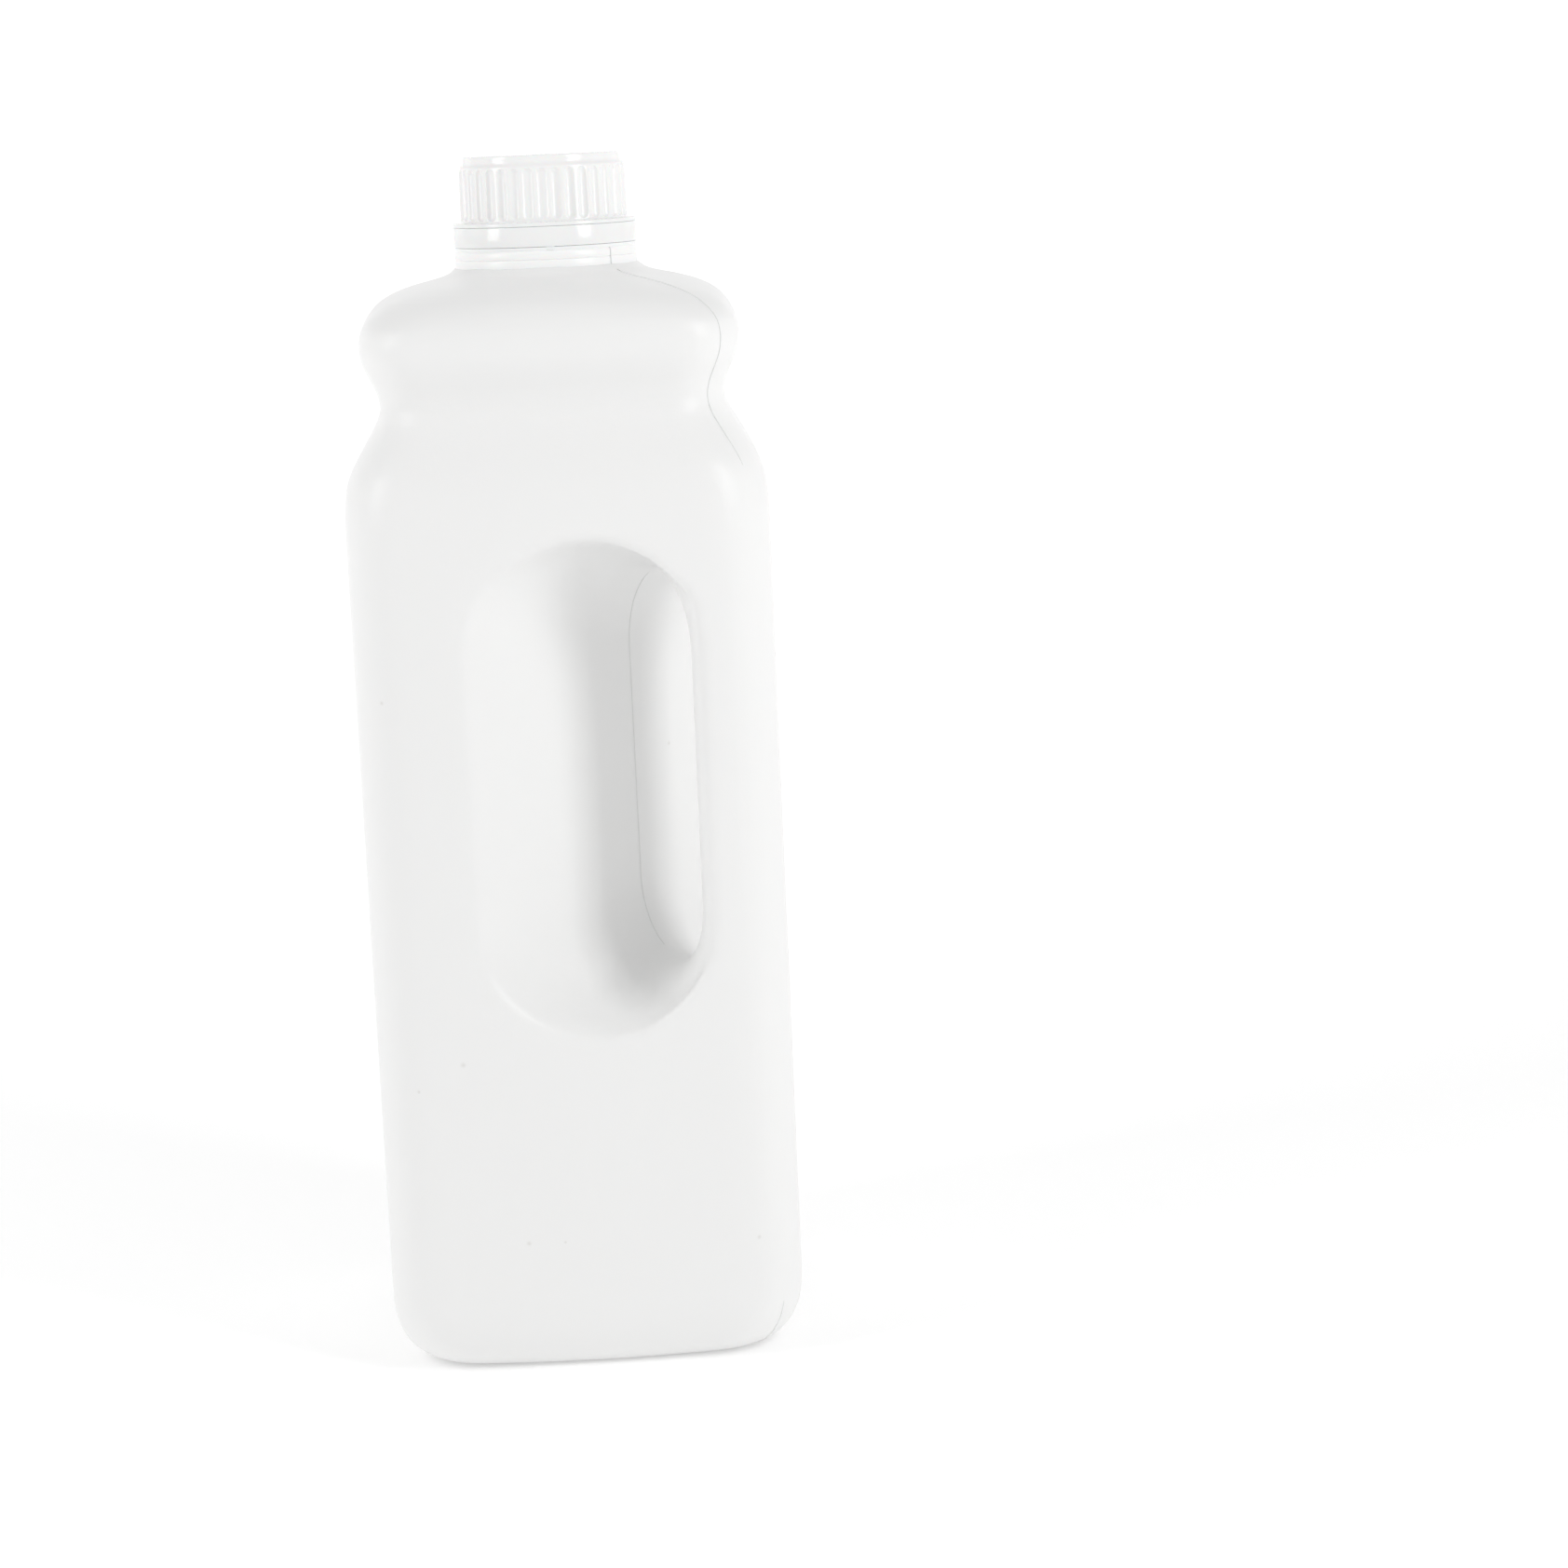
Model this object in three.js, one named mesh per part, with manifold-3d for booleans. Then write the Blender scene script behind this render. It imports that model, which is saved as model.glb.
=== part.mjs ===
// A square blow-moulded bottle with a corner grip, its ribbed screw cap and the ring below the cap.
// Millimetres, +Z up. The origin is the middle of the flat base. -Y is the front face, and the grip
// is the upright corner between the front (-Y) and the right (+X) faces.
import * as THREE from 'three';
import { mergeVertices } from 'three/addons/utils/BufferGeometryUtils.js';
import Module from 'manifold-3d';

const wasm = await Module();
wasm.setup();

// Body
const bodyHalf = 53.5;
const bodyCorner = 18;
const footInset = 9;
const footRise = 18;
const footCorner = 25;
const wallTop = 217;
const bodySides = 56;
const cornerCrowding = 1.7;

// Shoulder, from the body wall over the waist and the bulge up to the neck: half width, height
const domeStart = 262;
const domeHalf = 48.6;
const shoulderLine = [
  [bodyHalf, wallTop], [53.1, 226], [51.7, 232], [48.8, 237.5], [45.6, 243], [44.1, 247.6],
  [45.0, 252.4], [47.2, 257], [domeHalf, domeStart], [48.2, 266.5], [46.2, 270.6], [42.6, 273.9],
  [37.0, 276.3], [30.6, 277.9], [26.2, 279.0], [23.9, 280.2],
];
const shoulderSteps = 26;

// Neck
const neckFoot = 280.2;
const collarRadius = 23.3;
const collarGroove = 282.9;
const collarTop = 285.0;
const neckRadius = 18.7;
const neckTop = 305.7;

// Grip: the passage behind the corner, measured across (w) and away from (t) the diagonal plane
const ridgeReach = 23.4;
const ridgeDraft = 0.073;
const barReach = 51;
const barHalf = 13.4;
const passageReach = 62.2;
const passageLow = 102;
const passageHigh = 204.3;
const lowSpread = 14;
const highSpread = 10;
const spreadWidth = 16;
const lowEnd = 21;
const highEnd = 21;
const passageDepth = 82;

// Cap
const capTop = 309;
const capEdge = 19.7;
const capShoulder = 20.3;
const skirtRadius = 21.3;
const skirtTop = 306.4;
const skirtFoot = 293.3;
const fluteCount = 26;
const fluteDepth = 0.65;
const ledgeRadius = 23.5;
const capFoot = 291.5;
const capBore = 19.1;
const capCeiling = 306.1;

// Ring below the cap
const bandTop = 291.1;
const bandFoot = 286.2;
const bandRadius = 23.6;

// A closed mesh from rings of the same number of points: the ends are fanned, or joined to each other.
function loft(rings, closed) {
  const count = rings[0].length;
  const position = [];
  const index = [];
  rings.forEach((ring) => ring.forEach((point) => position.push(...point)));
  const last = closed ? rings.length : rings.length - 1;
  for (let i = 0; i < last; i += 1) {
    const here = i * count;
    const next = ((i + 1) % rings.length) * count;
    for (let k = 0; k < count; k += 1) {
      const m = (k + 1) % count;
      index.push(here + k, here + m, next + m);
      index.push(here + k, next + m, next + k);
    }
  }
  if (!closed) {
    const caps = [rings[0], rings[rings.length - 1]];
    caps.forEach((ring, side) => {
      const middle = [0, 1, 2].map((axis) => ring.reduce((sum, point) => sum + point[axis], 0) / count);
      const start = side === 0 ? 0 : (rings.length - 1) * count;
      const centre = position.length / 3;
      position.push(...middle);
      for (let k = 0; k < count; k += 1) {
        const m = (k + 1) % count;
        if (side === 0) index.push(centre, start + m, start + k);
        else index.push(centre, start + k, start + m);
      }
    });
  }
  const geometry = new THREE.BufferGeometry();
  geometry.setAttribute('position', new THREE.Float32BufferAttribute(position, 3));
  geometry.setIndex(index);
  return geometry;
}

function toSolid(geometry) {
  const bare = geometry.clone();
  bare.deleteAttribute('normal');
  bare.deleteAttribute('uv');
  const merged = mergeVertices(bare, 1e-4);
  const mesh = new wasm.Mesh({
    numProp: 3,
    vertProperties: Float32Array.from(merged.attributes.position.array),
    triVerts: Uint32Array.from(merged.index.array),
  });
  return new wasm.Manifold(mesh);
}

function toGeometry(solid) {
  const mesh = solid.getMesh();
  const geometry = new THREE.BufferGeometry();
  geometry.setAttribute('position', new THREE.Float32BufferAttribute(mesh.vertProperties, 3));
  geometry.setIndex(Array.from(mesh.triVerts));
  geometry.computeVertexNormals();
  return geometry;
}

// The distance from the axis to a rounded square's outline, in the direction of an angle.
function squareReach(angle, half, corner) {
  const along = Math.max(Math.abs(Math.cos(angle)), Math.abs(Math.sin(angle)));
  const across = Math.min(Math.abs(Math.cos(angle)), Math.abs(Math.sin(angle)));
  const centre = half - corner;
  const flat = half / along;
  if (flat * across <= centre) return flat;
  const sum = centre * (along + across);
  return sum + Math.sqrt(Math.max(sum * sum - 2 * centre * centre + corner * corner, 0));
}

// Angles all round, closer together at the four corners.
function cornerAngles(count) {
  const quarter = count / 4;
  const angles = [];
  for (let side = 0; side < 4; side += 1) {
    for (let k = 0; k < quarter; k += 1) {
      const s = (2 * k) / quarter - 1;
      const bent = Math.sign(s) * Math.abs(s) ** cornerCrowding;
      angles.push((side + 0.5 + 0.5 * bent) * (Math.PI / 2));
    }
  }
  return angles;
}

const angles = cornerAngles(bodySides);

function squareRing(half, corner, height) {
  return angles.map((angle) => {
    const reach = squareReach(angle, half, Math.min(corner, half));
    return [reach * Math.cos(angle), reach * Math.sin(angle), height];
  });
}

// The plan's corner radius, which grows over the dome until the plan is round at the neck.
function shoulderCorner(half, height) {
  if (height < domeStart) return bodyCorner;
  const toNeck = THREE.MathUtils.clamp((domeHalf - half) / (domeHalf - collarRadius), 0, 1);
  return THREE.MathUtils.lerp(bodyCorner, half, toNeck ** 0.8);
}

function bodyRings() {
  const rings = [];
  const footSteps = 7;
  for (let k = 0; k <= footSteps; k += 1) {
    const turn = (k / footSteps) * (Math.PI / 2);
    const share = 1 - Math.sin(turn);
    const corner = THREE.MathUtils.lerp(bodyCorner, footCorner, share);
    rings.push(squareRing(bodyHalf - footInset * share, corner, footRise * (1 - Math.cos(turn))));
  }
  const line = new THREE.SplineCurve(shoulderLine.map(([half, height]) => new THREE.Vector2(half, height)));
  line.getSpacedPoints(shoulderSteps).forEach((point) => {
    rings.push(squareRing(point.x, shoulderCorner(point.x, point.y), point.y));
  });
  const neckLine = [
    [collarRadius, neckFoot + 0.6], [collarRadius, collarGroove - 0.3], [collarRadius - 0.4, collarGroove],
    [collarRadius, collarGroove + 0.3], [collarRadius, collarTop - 0.3], [collarRadius - 0.3, collarTop],
    [neckRadius, collarTop], [neckRadius, neckTop - 0.8], [neckRadius - 0.8, neckTop],
  ];
  neckLine.forEach(([radius, height]) => rings.push(squareRing(radius, radius, height)));
  return rings;
}

// The near edge of the grip bar, rounded from its middle out to where it leaves the passage.
function barEdge(t) {
  const turn = Math.min(Math.abs(t) / barHalf, 1);
  return THREE.MathUtils.lerp(barReach, passageReach, 1 - Math.sqrt(1 - turn * turn));
}

// One outline of the passage, at a distance from the diagonal plane: straight sides and oval ends.
function passageRing(t) {
  const away = Math.abs(t);
  const near = ridgeReach - ridgeDraft * away;
  const far = barEdge(t);
  const spread = 1 - Math.exp(-((away / spreadWidth) ** 2));
  const low = passageLow - lowSpread * spread;
  const high = passageHigh + highSpread * spread;
  const middle = (near + far) / 2;
  const half = (far - near) / 2;
  const ring = [];
  const endSteps = 14;
  const ends = [[high - highEnd, highEnd, 0], [low + lowEnd, lowEnd, Math.PI]];
  ends.forEach(([level, rise, start]) => {
    for (let k = 0; k <= endSteps; k += 1) {
      const turn = start + (k / endSteps) * Math.PI;
      const w = middle + half * Math.cos(turn);
      const z = level + rise * Math.sin(turn);
      ring.push([(w - t) / Math.SQRT2, (-w - t) / Math.SQRT2, z]);
    }
  });
  return ring;
}

function passage() {
  const outer = [18, 24, 32, 46, passageDepth];
  const depths = outer.map((t) => -t).reverse();
  for (let k = -6; k <= 6; k += 1) depths.push(barHalf * Math.sin((k / 6) * (Math.PI / 2)));
  depths.push(...outer);
  return loft(depths.map((t) => passageRing(t)), false);
}

function circleRing(radius, height, count) {
  const ring = [];
  for (let k = 0; k < count; k += 1) {
    const angle = (k / count) * 2 * Math.PI;
    const reach = typeof radius === 'function' ? radius(k) : radius;
    ring.push([reach * Math.cos(angle), reach * Math.sin(angle), height]);
  }
  return ring;
}

function capGeometry() {
  const perFlute = 4;
  const count = fluteCount * perFlute;
  const fluted = (k) => skirtRadius - fluteDepth * [0, 0.85, 1, 0.85][k % perFlute];
  const lines = [
    [capBore, capCeiling], [capBore, capFoot], [ledgeRadius, capFoot], [ledgeRadius, capFoot + 0.5],
    [skirtRadius + 0.3, skirtFoot], [fluted, skirtFoot + 0.4], [fluted, skirtTop - 0.9],
    [skirtRadius - 0.1, skirtTop - 0.1], [capShoulder, skirtTop + 0.2], [capEdge, capTop - 0.4],
    [capEdge - 0.4, capTop],
  ];
  return loft(lines.map(([radius, height]) => circleRing(radius, height, count)).reverse(), false);
}

function bandGeometry() {
  const lines = [
    [capBore, bandFoot], [bandRadius - 0.6, bandFoot], [bandRadius, bandFoot + 0.6],
    [bandRadius, bandTop - 0.3], [bandRadius - 0.3, bandTop], [capBore, bandTop],
  ];
  return loft(lines.map(([radius, height]) => circleRing(radius, height, 80)), true);
}

// Turns a mesh's triangles round where they face inwards.
function facingOut(geometry) {
  const position = geometry.attributes.position;
  const order = geometry.index.array;
  const a = new THREE.Vector3();
  const b = new THREE.Vector3();
  const c = new THREE.Vector3();
  let volume = 0;
  for (let k = 0; k < order.length; k += 3) {
    a.fromBufferAttribute(position, order[k]);
    b.fromBufferAttribute(position, order[k + 1]);
    c.fromBufferAttribute(position, order[k + 2]);
    volume += a.dot(b.cross(c));
  }
  if (volume > 0) return geometry;
  const turned = Array.from(order);
  for (let k = 0; k < turned.length; k += 3) {
    [turned[k + 1], turned[k + 2]] = [turned[k + 2], turned[k + 1]];
  }
  geometry.setIndex(turned);
  return geometry;
}

const bodySolid = toSolid(facingOut(loft(bodyRings(), false)));
const passageSolid = toSolid(facingOut(passage()));
const bottleSolid = bodySolid.subtract(passageSolid);

const bottleWhite = new THREE.MeshStandardMaterial({ color: 0xe9e9e8, roughness: 0.46, metalness: 0 });
const capWhite = new THREE.MeshStandardMaterial({ color: 0xf0f0ef, roughness: 0.36, metalness: 0 });
const bandWhite = new THREE.MeshStandardMaterial({ color: 0xf0f0ef, roughness: 0.36, metalness: 0 });

const bottle = new THREE.Mesh(toGeometry(bottleSolid), bottleWhite);
bottle.name = 'bottle';

const cap = new THREE.Mesh(facingOut(capGeometry()), capWhite);
cap.name = 'cap';

const band = new THREE.Mesh(facingOut(bandGeometry()), bandWhite);
band.name = 'tamper_band';

const group = new THREE.Group();
group.add(bottle, cap, band);

export default group;
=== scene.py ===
# A white blow-moulded plastic bottle with a corner grip, its ribbed screw cap and the ring below the cap
import bpy
import math
from mathutils import Matrix, Vector


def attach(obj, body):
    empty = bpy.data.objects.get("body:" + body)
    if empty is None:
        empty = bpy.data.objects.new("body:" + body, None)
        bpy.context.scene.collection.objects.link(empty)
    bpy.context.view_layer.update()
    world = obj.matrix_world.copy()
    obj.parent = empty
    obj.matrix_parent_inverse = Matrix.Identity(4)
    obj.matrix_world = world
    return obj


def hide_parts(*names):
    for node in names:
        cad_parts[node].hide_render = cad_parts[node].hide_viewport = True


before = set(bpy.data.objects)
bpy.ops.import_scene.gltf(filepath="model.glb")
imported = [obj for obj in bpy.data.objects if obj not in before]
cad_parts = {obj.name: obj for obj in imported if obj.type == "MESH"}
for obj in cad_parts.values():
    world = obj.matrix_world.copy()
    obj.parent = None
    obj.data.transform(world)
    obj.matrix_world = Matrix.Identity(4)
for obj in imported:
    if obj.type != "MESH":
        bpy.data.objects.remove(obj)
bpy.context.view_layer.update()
mm = 0.001
hair = 1e-5  # metres, for telling one height from another
level = 0.9  # a face whose normal rises more than this looks up, or down below its negative
manySides = 8  # a face with more corners than this is a whole disc


# Small helpers

def zeroToOne(value):
    return min(max(value, 0), 1)


def onlyActive(piece):
    bpy.ops.object.select_all(action="DESELECT")
    piece.select_set(True)
    bpy.context.view_layer.objects.active = piece


def editMode(piece, kind):
    onlyActive(piece)
    bpy.ops.object.mode_set(mode="EDIT")
    bpy.ops.mesh.select_mode(type=kind)
    bpy.ops.mesh.select_all(action="DESELECT")
    bpy.ops.object.mode_set(mode="OBJECT")


def pick(piece, kind, test):
    editMode(piece, kind)
    parts = {"VERT": piece.data.vertices, "EDGE": piece.data.edges, "FACE": piece.data.polygons}[kind]
    for part in parts:
        part.select = bool(test(part))
    bpy.ops.object.mode_set(mode="EDIT")


def objectMode():
    bpy.ops.object.mode_set(mode="OBJECT")


def settle(piece):
    onlyActive(piece)
    bpy.ops.object.transform_apply(location=True, rotation=True, scale=True)


def applyAll(piece):
    onlyActive(piece)
    for modifier in list(piece.modifiers):
        bpy.ops.object.modifier_apply(modifier=modifier.name)


def named(piece, name):
    piece.name = name
    piece.data.name = name
    return piece


def selectedPlaces(piece):
    objectMode()
    places = [vertex.co.copy() for vertex in piece.data.vertices if vertex.select]
    bpy.ops.object.mode_set(mode="EDIT")
    return places


growing = {"leastRounding": 0.001, "leastChange": 1e-9}  # smaller steps are left out


def growTo(piece, height, half, roundness):
    # One more ring past the last: moved to its height, rounded in plan by its share, and brought to its half width
    bpy.ops.mesh.extrude_region_move()
    places = selectedPlaces(piece)
    now = sum(place.z for place in places) / len(places)
    bpy.ops.transform.translate(value=(0, 0, height - now))
    reach = [math.hypot(place.x, place.y) for place in places]
    wide = max(abs(place.x) for place in places)
    corner = max(reach) / wide
    middle = sum(reach) / len(reach) / wide
    share = (corner - roundness) / ((corner - middle) + roundness * (middle - 1))
    if share > growing["leastRounding"]:
        bpy.ops.transform.tosphere(value=min(share, 1.0), center_override=(0, 0, height))
    places = selectedPlaces(piece)
    wide = max(abs(place.x) for place in places)
    bpy.ops.transform.resize(value=(half / wide, half / wide, 1), center_override=(0, 0, height))


def turnedPiece(name, sides, profile):
    # A round piece grown upwards ring by ring from a flat disc, profile in (radius, height)
    radius, height = profile[0]
    bpy.ops.object.select_all(action="DESELECT")
    bpy.ops.mesh.primitive_circle_add(vertices=sides, radius=radius * mm, fill_type="NGON",
                                      location=(0, 0, height * mm))
    piece = bpy.context.object
    settle(piece)
    pick(piece, "FACE", lambda face: True)
    for nextRadius, nextHeight in profile[1:]:
        bpy.ops.mesh.extrude_region_move(TRANSFORM_OT_translate={"value": (0, 0, (nextHeight - height) * mm)})
        if abs(nextRadius - radius) > growing["leastChange"]:
            bpy.ops.transform.resize(value=(nextRadius / radius, nextRadius / radius, 1),
                                     center_override=(0, 0, nextHeight * mm))
        radius, height = nextRadius, nextHeight
    bpy.ops.mesh.select_all(action="SELECT")
    bpy.ops.mesh.normals_make_consistent(inside=False)
    objectMode()
    return named(piece, name)


def cutBy(piece, cutter):
    knife = piece.modifiers.new("cut", "BOOLEAN")
    knife.operation = "DIFFERENCE"
    knife.solver = "EXACT"
    knife.object = cutter
    applyAll(piece)
    bpy.data.objects.remove(cutter, do_unlink=True)


# Bottle body

bottleShape = {
    "half": 53.5, "corner": 18, "cornerSteps": 14, "wallTop": 217, "flatCuts": 9, "flatEdge": 20,
    "footInset": 9, "footRise": 18, "footCorner": 25, "footSteps": 9,
    "neckHalf": 23.3, "domeHalf": 48.6, "domeStart": 262, "domeCurve": 0.8,
    "shoulder": [
        (53.4, 221), (53.1, 226), (52.5, 229.5), (51.7, 232), (50.4, 234.7), (48.8, 237.5), (47.2, 240.2),
        (45.6, 243), (44.5, 245.4), (44.1, 247.6), (44.3, 250), (45.0, 252.4), (46.1, 254.7), (47.2, 257),
        (48.2, 259.5), (48.6, 262), (48.6, 264.3), (48.2, 266.5), (47.4, 268.6), (46.2, 270.6), (44.6, 272.4),
        (42.6, 273.9), (40.0, 275.2), (37.0, 276.3), (33.8, 277.2), (30.6, 277.9), (28.2, 278.5),
        (26.2, 279.0), (24.8, 279.6), (23.9, 280.4), (23.5, 281.4)],
    "voxel": 1.45, "softening": 0.5, "smoothRounds": 5, "rimRounds": 13, "footLift": 0.05,
}

gripShape = {
    "ridge": 23.4, "ridgeDraft": 0.073, "bar": 51, "barHalf": 13.4, "reach": 62.2,
    "low": 102, "high": 204.3, "lowSpread": 14, "highSpread": 10, "spreadWidth": 16,
    "lowEnd": 21, "highEnd": 21, "depth": 82, "sides": 56, "barSteps": 12,
    "outer": [18, 21, 24, 28, 32, 40],
}


def shoulderRoundness(half, height):
    # The ratio of the plan's reach at a corner to its half width
    corner = bottleShape["corner"]
    if height >= bottleShape["domeStart"]:
        toNeck = (bottleShape["domeHalf"] - half) / (bottleShape["domeHalf"] - bottleShape["neckHalf"])
        toNeck = zeroToOne(toNeck) ** bottleShape["domeCurve"]
        corner = corner + (half - corner) * toNeck
    return ((half - corner) * math.sqrt(2) + corner) / half


def edgeRise(edge, points):
    return abs(points[edge.vertices[0]].co.z - points[edge.vertices[1]].co.z)


def edgeLength(edge, points):
    return (points[edge.vertices[0]].co - points[edge.vertices[1]].co).length


def makeBlock():
    # The straight part of the walls, with round upright corners and its flat sides cut into short edges
    s = bottleShape
    tall = s["wallTop"] - s["footRise"]
    bpy.ops.object.select_all(action="DESELECT")
    bpy.ops.mesh.primitive_cube_add(size=1, location=(0, 0, (s["footRise"] + tall / 2) * mm),
                                    scale=(2 * s["half"] * mm, 2 * s["half"] * mm, tall * mm))
    block = bpy.context.object
    settle(block)
    points = block.data.vertices
    pick(block, "EDGE", lambda edge: edgeRise(edge, points) > tall * mm / 2)
    bpy.ops.mesh.bevel(offset=s["corner"] * mm, segments=s["cornerSteps"], affect="EDGES")
    objectMode()
    points = block.data.vertices
    pick(block, "EDGE", lambda edge: edgeRise(edge, points) < hair and
         edgeLength(edge, points) > s["flatEdge"] * mm)
    bpy.ops.mesh.subdivide(number_cuts=s["flatCuts"])
    objectMode()
    return block


def makeBody():
    # From the block down to the foot and up over the shoulder
    s = bottleShape
    body = makeBlock()
    pick(body, "FACE", lambda face: face.normal.z < -level and face.center.z < s["footRise"] * mm + hair)
    for k in range(1, s["footSteps"] + 1):
        turn = (1 - k / s["footSteps"]) * math.pi / 2
        share = 1 - math.sin(turn)
        half = s["half"] - s["footInset"] * share
        corner = s["corner"] + (s["footCorner"] - s["corner"]) * share
        growTo(body, s["footRise"] * (1 - math.cos(turn)) * mm, half * mm,
               ((half - corner) * math.sqrt(2) + corner) / half)
    objectMode()
    pick(body, "FACE", lambda face: face.normal.z > level and face.center.z > s["wallTop"] * mm - hair)
    for half, height in s["shoulder"]:
        growTo(body, height * mm, half * mm, shoulderRoundness(half, height))
    bpy.ops.mesh.select_all(action="SELECT")
    bpy.ops.mesh.normals_make_consistent(inside=False)
    objectMode()
    return body


def gripRing(t):
    # The passage's outline at a distance from the diagonal plane: near and far edge, low and high end
    g = gripShape
    away = abs(t)
    turn = min(away / g["barHalf"], 1)
    near = g["ridge"] - g["ridgeDraft"] * away
    far = g["bar"] + (g["reach"] - g["bar"]) * (1 - math.sqrt(1 - turn * turn))
    spread = 1 - math.exp(-(away / g["spreadWidth"]) ** 2)
    return near, far, g["low"] - g["lowSpread"] * spread, g["high"] + g["highSpread"] * spread


def makePassage():
    # A long block with round ends, grown right through along the diagonal and then turned to the front right corner
    g = gripShape
    near, far, low, high = gripRing(g["depth"])
    ends = (g["lowEnd"] + g["highEnd"]) / 2 * (high - low) / (g["high"] - g["low"])
    bpy.ops.object.select_all(action="DESELECT")
    bpy.ops.mesh.primitive_circle_add(vertices=g["sides"], radius=1, fill_type="NGON",
                                      location=(0, 0, 0), rotation=(math.pi / 2, 0, 0))
    passage = bpy.context.object
    settle(passage)
    pick(passage, "VERT", lambda vertex: True)
    bpy.ops.transform.resize(value=((far - near) / 2 * mm, 1, ends * mm), center_override=(0, 0, 0))
    bpy.ops.transform.translate(value=((near + far) / 2 * mm, -g["depth"] * mm, low * mm))
    objectMode()
    pick(passage, "VERT", lambda vertex: vertex.co.z >= low * mm - hair)
    bpy.ops.transform.translate(value=(0, 0, (high - low - 2 * ends) * mm))
    bpy.ops.mesh.select_all(action="SELECT")
    bpy.ops.transform.translate(value=(0, 0, ends * mm))
    objectMode()
    outer = g["outer"] + [g["depth"]]
    steps = g["barSteps"]
    bar = [g["barHalf"] * math.sin(k / steps * math.pi / 2) for k in range(-steps, steps + 1)]
    depths = [-t for t in reversed(outer)] + bar + outer
    pick(passage, "FACE", lambda face: True)
    lastBox = (near, far, low, high)
    for before, t in zip(depths, depths[1:]):
        box = gripRing(t)
        bpy.ops.mesh.extrude_region_move(TRANSFORM_OT_translate={"value": (0, (t - before) * mm, 0)})
        widen = (box[1] - box[0]) / (lastBox[1] - lastBox[0])
        lengthen = (box[3] - box[2]) / (lastBox[3] - lastBox[2])
        middle = ((lastBox[0] + lastBox[1]) / 2 * mm, 0, (lastBox[2] + lastBox[3]) / 2 * mm)
        bpy.ops.transform.resize(value=(widen, 1, lengthen), center_override=middle)
        shift = ((box[0] + box[1]) / 2 * mm - middle[0], 0, (box[2] + box[3]) / 2 * mm - middle[2])
        bpy.ops.transform.translate(value=shift)
        lastBox = box
    bpy.ops.mesh.select_all(action="SELECT")
    bpy.ops.mesh.normals_make_consistent(inside=False)
    objectMode()
    passage.rotation_euler = (0, 0, -math.pi / 4)
    settle(passage)
    return passage


rimShape = {
    "low": 82, "high": 226, "endFade": 6, "nearMargin": 9, "farMargin": 12,
    "depth": 11, "depthFade": 5, "crispStart": 44, "crispFade": 10, "crispness": 0.85,
}


def rimWeight(place):
    # How much a point is softened: most at the passage's far rims, less at the bar's own
    r = rimShape
    x, y, z = place.x / mm, place.y / mm, place.z / mm
    if not r["low"] < z < r["high"]:
        return 0
    t = abs(x + y) / math.sqrt(2)
    w = (x - y) / math.sqrt(2)
    near, far, low, high = gripRing(t)
    if w < near - r["nearMargin"] or w > far + r["farMargin"]:
        return 0
    face = max(abs(x), abs(y)) - bottleShape["half"]
    depth = zeroToOne((face + r["depth"]) / r["depthFade"])
    upright = zeroToOne((z - r["low"]) / r["endFade"]) * zeroToOne((r["high"] - z) / r["endFade"])
    crisp = zeroToOne((w - r["crispStart"]) / r["crispFade"])
    return depth * upright * (1 - r["crispness"] * crisp)


def makeBottle():
    # The body with its grip, on an even mesh, with its rims softened as blown plastic is
    body = makeBody()
    cutBy(body, makePassage())
    remesh = body.modifiers.new("even", "REMESH")
    remesh.mode = "VOXEL"
    remesh.voxel_size = bottleShape["voxel"] * mm
    remesh.use_smooth_shade = True
    applyAll(body)
    rim = body.vertex_groups.new(name="rim")
    for vertex in body.data.vertices:
        weight = rimWeight(vertex.co)
        if weight > 0:
            rim.add([vertex.index], weight, "REPLACE")
    soften = body.modifiers.new("soften", "SMOOTH")
    soften.factor = bottleShape["softening"]
    soften.iterations = bottleShape["smoothRounds"]
    softenRim = body.modifiers.new("softenRim", "SMOOTH")
    softenRim.factor = bottleShape["softening"]
    softenRim.iterations = bottleShape["rimRounds"]
    softenRim.vertex_group = "rim"
    applyAll(body)
    body.vertex_groups.clear()
    flattenFoot(body)
    return named(body, "bottleBody")


def flattenFoot(body):
    for vertex in body.data.vertices:
        if vertex.co.z < bottleShape["footLift"] * mm:
            vertex.co.z = 0


bottleBody = makeBottle()
print("bottle body", len(bottleBody.data.polygons), "faces")


# Mould line along the two corners that the bottle's mould opened at, and down the grip

lineShape = {
    "radius": 0.2, "sides": 2, "thinnest": 0.25, "merge": 0.01,
    "shoulderLow": 231, "shoulderFade": 8, "shoulderHigh": 279.6, "footLow": 0.6, "footHigh": 15, "footFade": 4,
    "gripLow": 104, "gripHigh": 203, "gripFade": 4, "gripReach": 40, "gripClear": 10,
    "collarLow": 280.4, "collarHigh": 285.2, "collarRadius": 22.9,
}


def lineWidth(place):
    # How much of the line shows at a place on the diagonal section, from none to all
    g = lineShape
    z = place.z / mm
    reach = (place.x - place.y) / math.sqrt(2) / mm
    if abs(reach) > g["gripReach"] or z > g["gripHigh"] + g["gripClear"]:
        shoulder = (z - g["shoulderLow"]) / g["shoulderFade"] if z < g["shoulderHigh"] else 0
        foot = (g["footHigh"] - z) / g["footFade"] if z > g["footLow"] else 0
        return zeroToOne(max(shoulder, foot))
    if reach > 0:
        return zeroToOne(min(z - g["gripLow"], g["gripHigh"] - z) / g["gripFade"])
    return 0


def collarWidth(place):
    # The same line on the neck's collar: all of it, and only on the outside
    g = lineShape
    outside = math.hypot(place.x, place.y) > g["collarRadius"] * mm
    return 1 if g["collarLow"] < place.z / mm < g["collarHigh"] and outside else 0


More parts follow.
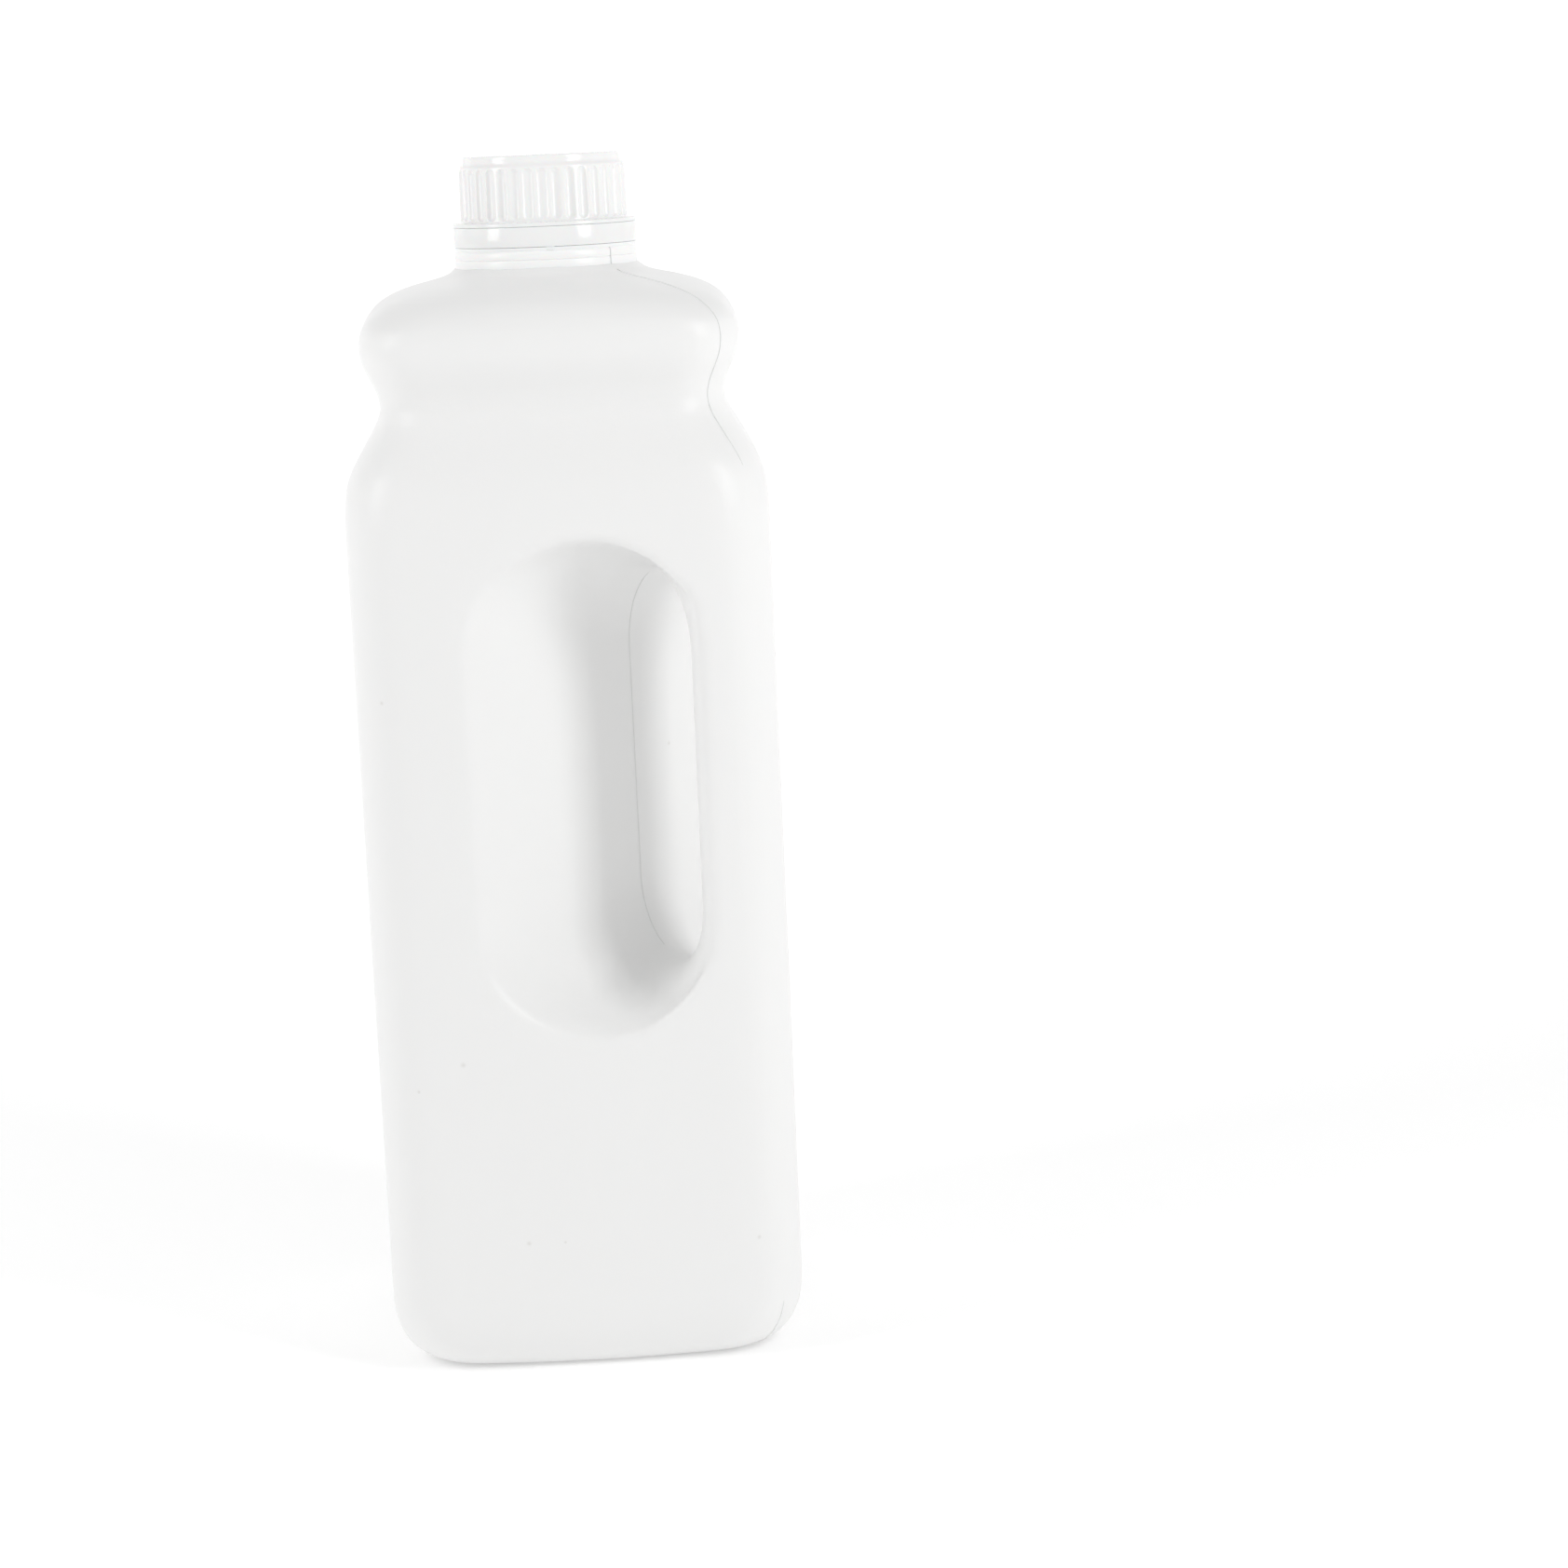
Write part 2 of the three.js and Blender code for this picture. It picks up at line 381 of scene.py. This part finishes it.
def makeMouldLine(piece, width):
    # The outline that the diagonal plane cuts from a piece, as a thin raised line where the width says
    line = piece.copy()
    line.data = piece.data.copy()
    bpy.context.collection.objects.link(line)
    pick(line, "FACE", lambda face: True)
    bpy.ops.mesh.bisect(plane_co=(0, 0, 0), plane_no=(1, 1, 0), clear_inner=True, clear_outer=True)
    objectMode()
    pick(line, "VERT", lambda vertex: width(vertex.co) <= 0)
    bpy.ops.mesh.delete(type="VERT")
    objectMode()
    onlyActive(line)
    bpy.ops.object.convert(target="CURVE")
    line.data.bevel_depth = lineShape["radius"] * mm
    line.data.bevel_resolution = lineShape["sides"]
    line.data.use_fill_caps = True
    thinnest = lineShape["thinnest"]
    for spline in line.data.splines:
        for point in spline.points:
            point.radius = thinnest + (1 - thinnest) * width(point.co)
    onlyActive(line)
    bpy.ops.object.convert(target="MESH")
    pick(line, "FACE", lambda face: True)
    bpy.ops.mesh.remove_doubles(threshold=lineShape["merge"] * mm)
    bpy.ops.mesh.normals_make_consistent(inside=False)
    objectMode()
    onlyActive(line)
    bpy.ops.object.shade_smooth()
    return line


# Neck and its rings

neckShape = {
    "sides": 160, "smoothUpTo": 28,
    "profile": [(22.6, 278.2), (23.3, 280.0), (23.5, 280.6), (23.5, 282.4), (23.4, 282.75), (23.2, 282.9),
                (23.4, 283.05), (23.5, 283.4), (23.5, 284.6), (23.35, 284.9), (23.1, 285.1), (23.3, 285.4),
                (23.4, 285.9), (23.3, 286.08), (18.7, 286.1), (18.7, 305.2), (18.2, 305.7)],
}


def makeNeck():
    neck = turnedPiece("bottleNeck", neckShape["sides"], neckShape["profile"])
    onlyActive(neck)
    bpy.ops.object.shade_smooth_by_angle(angle=math.radians(neckShape["smoothUpTo"]))
    return neck


bottleNeck = makeNeck()
print("neck", len(bottleNeck.data.polygons), "faces")

mouldLine = makeMouldLine(bottleBody, lineWidth)
collarLine = makeMouldLine(bottleNeck, collarWidth)
collarLine.select_set(True)
mouldLine.select_set(True)
bpy.context.view_layer.objects.active = mouldLine
bpy.ops.object.join()
named(mouldLine, "mouldLine")
print("mould line", len(mouldLine.data.polygons), "faces")


# Cap

capShape = {
    "sides": 208, "bore": 19.1, "ceiling": 306.1,
    "profile": [(23.5, 291.26), (23.6, 291.4), (23.6, 292.0), (23.45, 292.2), (21.7, 292.4), (21.45, 292.6),
                (21.3, 305.9), (21.15, 306.25), (20.75, 306.65), (20.5, 307.0), (20.35, 307.7), (20.25, 308.7),
                (20.1, 308.93), (19.85, 309.0)],
    "skirt": 21.35, "flutes": 38, "fluteRadius": 2.1, "fluteDepth": 0.55, "fluteLow": 292.8, "fluteHigh": 305.9,
    "fluteTurn": 242, "fluteSegments": 48, "fluteRings": 24, "edge": 0.15, "edgeSteps": 2, "smoothUpTo": 32,
}


def makeFluteCutter():
    # One upright rod with round ends, copied all round the skirt
    c = capShape
    radius = c["fluteRadius"]
    reach = c["skirt"] - c["fluteDepth"] + radius
    half = math.sqrt(radius * radius - (radius - c["fluteDepth"]) ** 2)
    middle = (c["fluteLow"] + half) * mm
    bpy.ops.object.select_all(action="DESELECT")
    bpy.ops.mesh.primitive_uv_sphere_add(segments=c["fluteSegments"], ring_count=c["fluteRings"], radius=radius * mm,
                                         location=(reach * mm, 0, middle))
    rod = bpy.context.object
    settle(rod)
    pick(rod, "FACE", lambda face: face.center.z > middle)
    bpy.ops.mesh.extrude_region_move()
    bpy.ops.transform.translate(value=(0, 0, (c["fluteHigh"] - c["fluteLow"] - 2 * half) * mm))
    objectMode()
    rods = [rod]
    for k in range(1, c["flutes"]):
        copy = rod.copy()
        copy.data = rod.data.copy()
        bpy.context.collection.objects.link(copy)
        rods.append(copy)
    for k, copy in enumerate(rods):
        turn = math.radians(c["fluteTurn"]) + k * 2 * math.pi / c["flutes"]
        copy.data.transform(Matrix.Rotation(turn, 4, "Z"))
    bpy.ops.object.select_all(action="DESELECT")
    for copy in rods:
        copy.select_set(True)
    bpy.context.view_layer.objects.active = rod
    bpy.ops.object.join()
    return rod


def makeCap():
    # Turned from its profile, hollowed from below, and fluted
    c = capShape
    cap = turnedPiece("screwCap", c["sides"], c["profile"])
    pick(cap, "FACE", lambda face: face.normal.z < -level and len(face.vertices) > manySides)
    bpy.ops.mesh.inset(thickness=(c["profile"][0][0] - c["bore"]) * mm)
    bpy.ops.mesh.extrude_region_move(
        TRANSFORM_OT_translate={"value": (0, 0, (c["ceiling"] - c["profile"][0][1]) * mm)})
    objectMode()
    cutBy(cap, makeFluteCutter())
    edges = cap.modifiers.new("edges", "BEVEL")
    edges.width = c["edge"] * mm
    edges.segments = c["edgeSteps"]
    edges.limit_method = "ANGLE"
    edges.angle_limit = math.radians(c["smoothUpTo"])
    applyAll(cap)
    bpy.ops.object.shade_smooth_by_angle(angle=math.radians(c["smoothUpTo"]))
    return cap


screwCap = makeCap()
print("cap", len(screwCap.data.polygons), "faces")


# Ring below the cap

bandShape = {
    "sides": 160, "bore": 19.1,
    "profile": [(23.4, 286.16), (23.55, 286.25), (23.6, 286.5), (23.7, 290.85), (23.62, 291.1), (23.5, 291.2)],
    "lugSize": (2.1, 1.3, 1.3), "lugRadius": 22.75, "lugHeight": 285.85, "lugTurns": [3.8, 123.8, 243.8],
    "lugEdge": 0.18, "lugEdgeSteps": 2, "smoothUpTo": 32,
}


def makeLug(turn):
    # One of the small bridges that hang from the band's foot
    b = bandShape
    wide, deep, tall = b["lugSize"]
    bpy.ops.object.select_all(action="DESELECT")
    bpy.ops.mesh.primitive_cube_add(size=1, location=(0, -b["lugRadius"] * mm, b["lugHeight"] * mm),
                                    scale=(wide * mm, deep * mm, tall * mm))
    lug = bpy.context.object
    settle(lug)
    pick(lug, "EDGE", lambda edge: True)
    bpy.ops.mesh.bevel(offset=b["lugEdge"] * mm, segments=b["lugEdgeSteps"], affect="EDGES")
    objectMode()
    lug.data.transform(Matrix.Rotation(math.radians(turn), 4, "Z"))
    return lug


def makeBand():
    # Turned from its profile, with its bore opened by joining the two inner rings
    b = bandShape
    band = turnedPiece("tamperBand", b["sides"], b["profile"])
    pick(band, "FACE", lambda face: face.normal.z < -level and len(face.vertices) > manySides)
    bpy.ops.mesh.inset(thickness=(b["profile"][0][0] - b["bore"]) * mm)
    objectMode()
    pick(band, "FACE", lambda face: face.normal.z > level and len(face.vertices) > manySides)
    bpy.ops.mesh.inset(thickness=(b["profile"][-1][0] - b["bore"]) * mm)
    objectMode()
    pick(band, "FACE", lambda face: abs(face.normal.z) > level and len(face.vertices) > manySides)
    bpy.ops.mesh.bridge_edge_loops()
    bpy.ops.mesh.select_all(action="SELECT")
    bpy.ops.mesh.normals_make_consistent(inside=False)
    objectMode()
    lugs = [makeLug(turn) for turn in b["lugTurns"]]
    bpy.ops.object.select_all(action="DESELECT")
    for piece in lugs + [band]:
        piece.select_set(True)
    bpy.context.view_layer.objects.active = band
    bpy.ops.object.join()
    onlyActive(band)
    bpy.ops.object.shade_smooth_by_angle(angle=math.radians(b["smoothUpTo"]))
    return band


tamperBand = makeBand()
print("band", len(tamperBand.data.polygons), "faces")


# Plastics

def newMaterial(name):
    material = bpy.data.materials.new(name)
    material.use_nodes = True
    tree = material.node_tree
    shader = next(node for node in tree.nodes if node.type == "BSDF_PRINCIPLED")
    return material, tree, shader


bottlePlastic = {
    "colour": (0.86, 0.86, 0.855, 1), "roughness": 0.34, "specular": 0.32,
    "subsurface": 0.12, "subsurfaceScale": 0.004, "subsurfaceRadius": (1.0, 0.95, 0.9),
    "grain": {"scale": 900, "strength": 0.08, "distance": 0.0002, "detail": 3},
    "uneven": {"scale": 28, "strength": 0.05, "distance": 0.004, "detail": 2},
    "speckColour": (0.77, 0.765, 0.75, 1), "speckCore": 0.2,
    # Place and radius of each speck
    "specks": [(-46.1, -50.0, 176.2, 0.7), (-31.0, -53.5, 83.1, 0.9), (-42.7, -52.0, 76.3, 0.6),
               (-16.9, -53.5, 35.2, 0.8), (-7.6, -53.5, 35.0, 0.5), (42.1, -52.2, 33.1, 0.7),
               (25.6, -6.1, 155.0, 0.7)],
}


def addBump(tree, shader, place, relief, last=None):
    noise = tree.nodes.new("ShaderNodeTexNoise")
    noise.inputs["Scale"].default_value = relief["scale"]
    noise.inputs["Detail"].default_value = relief["detail"]
    bump = tree.nodes.new("ShaderNodeBump")
    bump.inputs["Strength"].default_value = relief["strength"]
    bump.inputs["Distance"].default_value = relief["distance"]
    tree.links.new(place, noise.inputs["Vector"])
    tree.links.new(noise.outputs["Fac"], bump.inputs["Height"])
    if last is not None:
        tree.links.new(last.outputs["Normal"], bump.inputs["Normal"])
    tree.links.new(bump.outputs["Normal"], shader.inputs["Normal"])
    return bump


def makeBottlePlastic():
    # Slightly uneven white with a fine grain and a few dull specks in its surface
    p = bottlePlastic
    material, tree, shader = newMaterial("bottleWhitePlastic")
    shader.inputs["Roughness"].default_value = p["roughness"]
    shader.inputs["Specular IOR Level"].default_value = p["specular"]
    shader.inputs["Subsurface Weight"].default_value = p["subsurface"]
    shader.inputs["Subsurface Radius"].default_value = p["subsurfaceRadius"]
    shader.inputs["Subsurface Scale"].default_value = p["subsurfaceScale"]
    coords = tree.nodes.new("ShaderNodeTexCoord")
    place = coords.outputs["Object"]
    uneven = addBump(tree, shader, place, p["uneven"])
    addBump(tree, shader, place, p["grain"], uneven)
    colour = tree.nodes.new("ShaderNodeMix")
    colour.data_type = "RGBA"
    colour.inputs[6].default_value = p["colour"]  # its colour A
    colour.inputs[7].default_value = p["speckColour"]  # its colour B
    total = None
    for x, y, z, radius in p["specks"]:
        away = tree.nodes.new("ShaderNodeVectorMath")
        away.operation = "DISTANCE"
        away.inputs[1].default_value = (x * mm, y * mm, z * mm)
        near = tree.nodes.new("ShaderNodeMapRange")
        near.inputs["From Min"].default_value = radius * mm
        near.inputs["From Max"].default_value = radius * p["speckCore"] * mm
        tree.links.new(place, away.inputs[0])
        tree.links.new(away.outputs["Value"], near.inputs["Value"])
        if total is None:
            total = near.outputs["Result"]
        else:
            more = tree.nodes.new("ShaderNodeMath")
            more.operation = "MAXIMUM"
            tree.links.new(total, more.inputs[0])
            tree.links.new(near.outputs["Result"], more.inputs[1])
            total = more.outputs[0]
    tree.links.new(total, colour.inputs[0])  # how much of colour B
    tree.links.new(colour.outputs[2], shader.inputs["Base Color"])
    return material


capPlastic = {
    "colour": (0.9, 0.9, 0.895, 1), "roughness": 0.15, "subsurface": 0.1, "subsurfaceScale": 0.002,
    "grain": {"scale": 700, "strength": 0.05, "distance": 0.0001, "detail": 2},
}

# The neck is the body's own plastic made lighter (0.96 against the body's 0.86). This is painted light: it stands in
# for the light that reaches the neck under the band and through its thin wall.
neckPaintedLightPlastic = {
    "colour": (0.96, 0.96, 0.955, 1), "roughness": 0.3, "subsurface": 0.1, "subsurfaceScale": 0.002,
    "grain": {"scale": 900, "strength": 0.06, "distance": 0.0001, "detail": 2},
}


def makePlainPlastic(name, p):
    material, tree, shader = newMaterial(name)
    shader.inputs["Roughness"].default_value = p["roughness"]
    shader.inputs["Base Color"].default_value = p["colour"]
    shader.inputs["Subsurface Weight"].default_value = p["subsurface"]
    shader.inputs["Subsurface Scale"].default_value = p["subsurfaceScale"]
    coords = tree.nodes.new("ShaderNodeTexCoord")
    addBump(tree, shader, coords.outputs["Object"], p["grain"])
    return material


def dress(piece, material):
    piece.data.materials.clear()
    piece.data.materials.append(material)


bottleWhite = makeBottlePlastic()
dress(bottleBody, bottleWhite)
# The neck gets the lighter copy of the bottle's plastic, a painted lightening of the shade under the band
dress(bottleNeck, makePlainPlastic("neckPaintedLighterPlastic", neckPaintedLightPlastic))
dress(mouldLine, bottleWhite)
dress(screwCap, makePlainPlastic("capWhitePlastic", capPlastic))
dress(tamperBand, makePlainPlastic("bandWhitePlastic", capPlastic))
print("plastics made")

for piece in (bottleBody, bottleNeck, mouldLine, screwCap, tamperBand):
    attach(piece, "root")
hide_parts("bottle")
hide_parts("bottle")
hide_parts("bottle")
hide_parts("cap")
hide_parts("tamper_band")


# Floor, light and camera, in metres and watts

studio = {
    "sweepSize": 7.0, "sweepStart": 1.5,
    "sweepRise": [(0.35, 0.05), (0.65, 0.22), (0.87, 0.5), (0.97, 0.85), (1.0, 1.2), (1.0, 4.0)],
    "paperColour": (0.86, 0.86, 0.86, 1), "paperRoughness": 0.9, "glowColour": (1, 1, 1, 1), "paperGlow": 0.22,
    "skyColour": (1, 1, 1, 1), "skyStrength": 0.585, "aim": (0, 0, 0.2),
    # Name, turn from the front in degrees, distance, height, width, length, power
    "lamps": [
        ("rightKey", 51, 0.65, 0.48, 0.2, 0.5, 1.68),
        ("rightSide", 95, 0.6, 0.48, 0.25, 0.35, 0.06),
        ("leftKey", -66, 0.65, 0.48, 0.2, 0.5, 1.3),
        ("leftSide", -95, 0.6, 0.48, 0.25, 0.35, 0.15),
        ("rightBack", 130, 0.8, 0.5, 0.4, 0.4, 0.12),
        ("leftBack", -130, 0.8, 0.5, 0.4, 0.4, 0.18),
    ],
    # One more lamp lights only the backdrop
    "wash": {"place": (0, 1.1, 1.3), "aim": (0, 2.2, 0.1), "width": 2.2, "length": 0.5, "power": 12},
}


def makeSweep():
    # A paper floor that curves up into a backdrop behind the bottle
    t = studio
    size = t["sweepSize"]
    bpy.ops.object.select_all(action="DESELECT")
    bpy.ops.mesh.primitive_plane_add(size=size, location=(0, t["sweepStart"] - size / 2, 0))
    sweep = named(bpy.context.object, "paperSweep")
    settle(sweep)
    points = sweep.data.vertices
    pick(sweep, "EDGE", lambda edge: all(points[v].co.y > t["sweepStart"] - hair for v in edge.vertices))
    lastOut, lastUp = 0, 0
    for out, up in t["sweepRise"]:
        bpy.ops.mesh.extrude_region_move(TRANSFORM_OT_translate={"value": (0, out - lastOut, up - lastUp)})
        lastOut, lastUp = out, up
    bpy.ops.mesh.select_all(action="SELECT")
    bpy.ops.mesh.normals_make_consistent(inside=False)
    objectMode()
    onlyActive(sweep)
    bpy.ops.object.shade_smooth()
    material, tree, shader = newMaterial("palePaper")
    shader.inputs["Base Color"].default_value = t["paperColour"]
    shader.inputs["Roughness"].default_value = t["paperRoughness"]
    shader.inputs["Emission Color"].default_value = t["glowColour"]
    shader.inputs["Emission Strength"].default_value = t["paperGlow"]
    dress(sweep, material)


def makeLamp(name, place, aim, wide, tall, power):
    light = bpy.data.lights.new(name, "AREA")
    light.shape = "RECTANGLE"
    light.size = wide
    light.size_y = tall
    light.energy = power
    lamp = bpy.data.objects.new(name, light)
    bpy.context.collection.objects.link(lamp)
    lamp.location = place
    lamp.rotation_euler = (Vector(aim) - Vector(place)).to_track_quat("-Z", "Y").to_euler()


def makeLights():
    t = studio
    for name, turn, away, height, wide, tall, power in t["lamps"]:
        angle = math.radians(turn)
        place = (away * math.sin(angle), -away * math.cos(angle), height)
        makeLamp(name, place, t["aim"], wide, tall, power)
    wash = t["wash"]
    makeLamp("backdropWash", wash["place"], wash["aim"], wash["width"], wash["length"], wash["power"])
    world = bpy.context.scene.world or bpy.data.worlds.new("studio")
    bpy.context.scene.world = world
    world.use_nodes = True
    sky = world.node_tree.nodes.get("Background")
    sky.inputs["Color"].default_value = t["skyColour"]
    sky.inputs["Strength"].default_value = t["skyStrength"]


# Place in millimetres, angles in radians, focal length in pixels of the square frame
viewpoint = {
    "distance": 950.0, "turn": 0.012, "height": 317.2, "yaw": -0.05866, "pitch": 0.1828, "roll": -0.0419,
    "focal": 3905.3, "frame": 1684, "sensor": 36, "nearest": 0.01,
}


def makeCamera():
    v = viewpoint
    heading = v["turn"] + v["yaw"]
    place = Vector((v["distance"] * math.sin(v["turn"]), -v["distance"] * math.cos(v["turn"]), v["height"])) * mm
    back = Vector((math.sin(heading) * math.cos(v["pitch"]), -math.cos(heading) * math.cos(v["pitch"]),
                   math.sin(v["pitch"])))
    right = Vector((math.cos(heading), math.sin(heading), 0))
    up = back.cross(right)
    leanRight = right * math.cos(v["roll"]) + up * math.sin(v["roll"])
    leanUp = up * math.cos(v["roll"]) - right * math.sin(v["roll"])
    lens = bpy.data.cameras.new("camera")
    lens.sensor_width = v["sensor"]
    lens.lens = v["focal"] * v["sensor"] / v["frame"]
    lens.clip_start = v["nearest"]
    camera = bpy.data.objects.new("camera", lens)
    bpy.context.collection.objects.link(camera)
    turned = Matrix((leanRight, leanUp, back)).transposed().to_4x4()
    camera.matrix_world = Matrix.Translation(place) @ turned
    bpy.context.scene.camera = camera
    bpy.context.scene.view_settings.view_transform = "Standard"  # plain whites, as in a catalogue picture


makeSweep()
makeLights()
makeCamera()
print("studio and camera ready")
